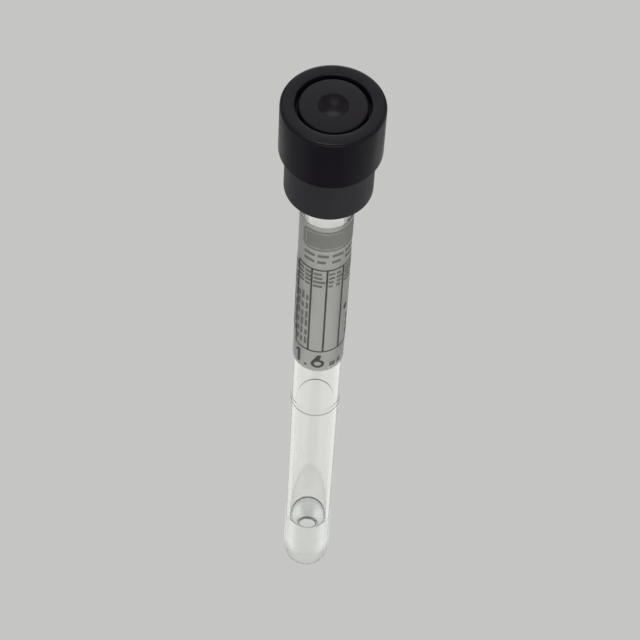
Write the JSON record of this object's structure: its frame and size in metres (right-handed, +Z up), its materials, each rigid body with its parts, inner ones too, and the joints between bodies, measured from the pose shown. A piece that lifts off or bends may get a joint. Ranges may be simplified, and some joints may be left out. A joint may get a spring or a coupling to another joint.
{
  "type": "blood collection tube",
  "caption": "Slim evacuated glass tube with a round end, a film label and citrate solution, closed by a pierceable rubber stopper in a black two-step cap shield.",
  "frame": {"origin": "centre of the cap's face, which the tube stands on, at the level of the surface under it", "axes": "+Z along the tube from the cap to the round end; -Y the way the middle of the label faces; +X to the right when the label is looked at with +Z up"},
  "size_m": [0.0152, 0.0152, 0.1248],
  "materials": {
    "glass": "clear drawn tubing, fire-polished rim",
    "stopper_rubber": "matt moulded",
    "shield_plastic": "smooth injection moulded, semi-gloss",
    "label_film": "clear matt film, printed grey",
    "solution": "clear watery liquid"
  },
  "bodies": {
    "closure": {"cap_shield": "shield_plastic", "rubber_stopper": "stopper_rubber"},
    "tube": {"glass_tube": "glass", "label": "label_film", "citrate_solution": "solution"}
  },
  "joints": [
    {"name": "tube_pull", "type": "slide", "parent": "closure", "child": "tube", "axis": [0, 0, 1], "range_m": [0, 0.02]}
  ]
}
